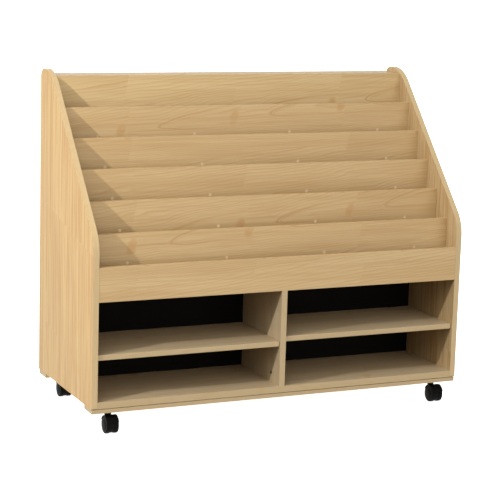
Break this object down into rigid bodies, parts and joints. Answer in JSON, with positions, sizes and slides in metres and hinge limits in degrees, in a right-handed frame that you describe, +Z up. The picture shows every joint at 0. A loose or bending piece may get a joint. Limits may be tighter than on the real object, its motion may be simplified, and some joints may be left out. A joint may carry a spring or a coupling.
{
  "type": "book cart",
  "caption": "Rolling wooden book display cart with stepped pockets, a sloping front and open storage below on swivel casters.",
  "frame": {"origin": "on the floor under the middle of the cart's footprint", "axes": "+Z up, front of the cart faces -Y, +X runs to the right along its width"},
  "size_m": [1.22, 0.511, 1.027],
  "materials": {
    "maple": "clear satin lacquer over maple ply, grain along the boards",
    "maple_side": "clear satin lacquer over maple ply, grain upright",
    "plug_wood": "plain sanded end grain",
    "hardboard": "black stained hardboard, matt",
    "zinc": "zinc plated",
    "black_steel": "black plated",
    "black_plastic": "moulded black nylon"
  },
  "bodies": {
    "cabinet": {"side_panel_left": "maple_side", "side_panel_right": "maple_side", "front_board": "maple", "display_board_1": "maple", "display_board_2": "maple", "display_board_3": "maple", "display_board_4": "maple", "display_board_5": "maple", "top_board": "maple", "pocket_ledge_1": "maple", "pocket_ledge_2": "maple", "pocket_ledge_3": "maple", "pocket_ledge_4": "maple", "pocket_ledge_5": "maple", "storage_top": "maple", "top_cap": "maple", "rear_panel": "maple", "storage_back": "hardboard", "divider": "maple", "bottom_shelf": "maple", "mid_shelf_left": "maple", "mid_shelf_right": "maple", "shelf_pins": "zinc", "caster_rail_front": "maple", "caster_rail_rear": "maple", "screw_plugs": "plug_wood", "ledge_screws": "zinc", "riser_screws": "zinc", "rear_panel_screws": "zinc", "rail_screws": "zinc", "dowels": "plug_wood", "caster_screws": "black_steel", "front_left_plate": "black_steel", "front_left_kingpin": "black_steel", "front_right_plate": "black_steel", "front_right_kingpin": "black_steel", "rear_left_plate": "black_steel", "rear_left_kingpin": "black_steel", "rear_right_plate": "black_steel", "rear_right_kingpin": "black_steel"},
    "front_left_swivel": {"front_left_hood": "black_plastic", "front_left_axle": "zinc"},
    "front_left_wheel_a": {"front_left_wheel_a": "black_plastic"},
    "front_left_wheel_b": {"front_left_wheel_b": "black_plastic"},
    "front_right_swivel": {"front_right_hood": "black_plastic", "front_right_axle": "zinc"},
    "front_right_wheel_a": {"front_right_wheel_a": "black_plastic"},
    "front_right_wheel_b": {"front_right_wheel_b": "black_plastic"},
    "rear_left_swivel": {"rear_left_hood": "black_plastic", "rear_left_axle": "zinc"},
    "rear_left_wheel_a": {"rear_left_wheel_a": "black_plastic"},
    "rear_left_wheel_b": {"rear_left_wheel_b": "black_plastic"},
    "rear_right_swivel": {"rear_right_hood": "black_plastic", "rear_right_axle": "zinc"},
    "rear_right_wheel_a": {"rear_right_wheel_a": "black_plastic"},
    "rear_right_wheel_b": {"rear_right_wheel_b": "black_plastic"}
  },
  "joints": [
    {"name": "front_left_swivel_turn", "type": "hinge", "parent": "cabinet", "child": "front_left_swivel", "pos_m": [-0.546, -0.209, 0.05], "axis": [0, 0, 1], "continuous": true},
    {"name": "front_left_wheel_a_spin", "type": "hinge", "parent": "front_left_swivel", "child": "front_left_wheel_a", "pos_m": [-0.55875, -0.2305, 0.025], "axis": [1, 0, 0], "continuous": true},
    {"name": "front_left_wheel_b_spin", "type": "hinge", "parent": "front_left_swivel", "child": "front_left_wheel_b", "pos_m": [-0.53325, -0.2305, 0.025], "axis": [1, 0, 0], "continuous": true},
    {"name": "front_right_swivel_turn", "type": "hinge", "parent": "cabinet", "child": "front_right_swivel", "pos_m": [0.546, -0.209, 0.05], "axis": [0, 0, 1], "continuous": true},
    {"name": "front_right_wheel_a_spin", "type": "hinge", "parent": "front_right_swivel", "child": "front_right_wheel_a", "pos_m": [0.53325, -0.2305, 0.025], "axis": [1, 0, 0], "continuous": true},
    {"name": "front_right_wheel_b_spin", "type": "hinge", "parent": "front_right_swivel", "child": "front_right_wheel_b", "pos_m": [0.55875, -0.2305, 0.025], "axis": [1, 0, 0], "continuous": true},
    {"name": "rear_left_swivel_turn", "type": "hinge", "parent": "cabinet", "child": "rear_left_swivel", "pos_m": [-0.546, 0.217, 0.05], "axis": [0, 0, 1], "continuous": true},
    {"name": "rear_left_wheel_a_spin", "type": "hinge", "parent": "rear_left_swivel", "child": "rear_left_wheel_a", "pos_m": [-0.55875, 0.1955, 0.025], "axis": [1, 0, 0], "continuous": true},
    {"name": "rear_left_wheel_b_spin", "type": "hinge", "parent": "rear_left_swivel", "child": "rear_left_wheel_b", "pos_m": [-0.53325, 0.1955, 0.025], "axis": [1, 0, 0], "continuous": true},
    {"name": "rear_right_swivel_turn", "type": "hinge", "parent": "cabinet", "child": "rear_right_swivel", "pos_m": [0.546, 0.217, 0.05], "axis": [0, 0, 1], "continuous": true},
    {"name": "rear_right_wheel_a_spin", "type": "hinge", "parent": "rear_right_swivel", "child": "rear_right_wheel_a", "pos_m": [0.53325, 0.1955, 0.025], "axis": [1, 0, 0], "continuous": true},
    {"name": "rear_right_wheel_b_spin", "type": "hinge", "parent": "rear_right_swivel", "child": "rear_right_wheel_b", "pos_m": [0.55875, 0.1955, 0.025], "axis": [1, 0, 0], "continuous": true}
  ]
}
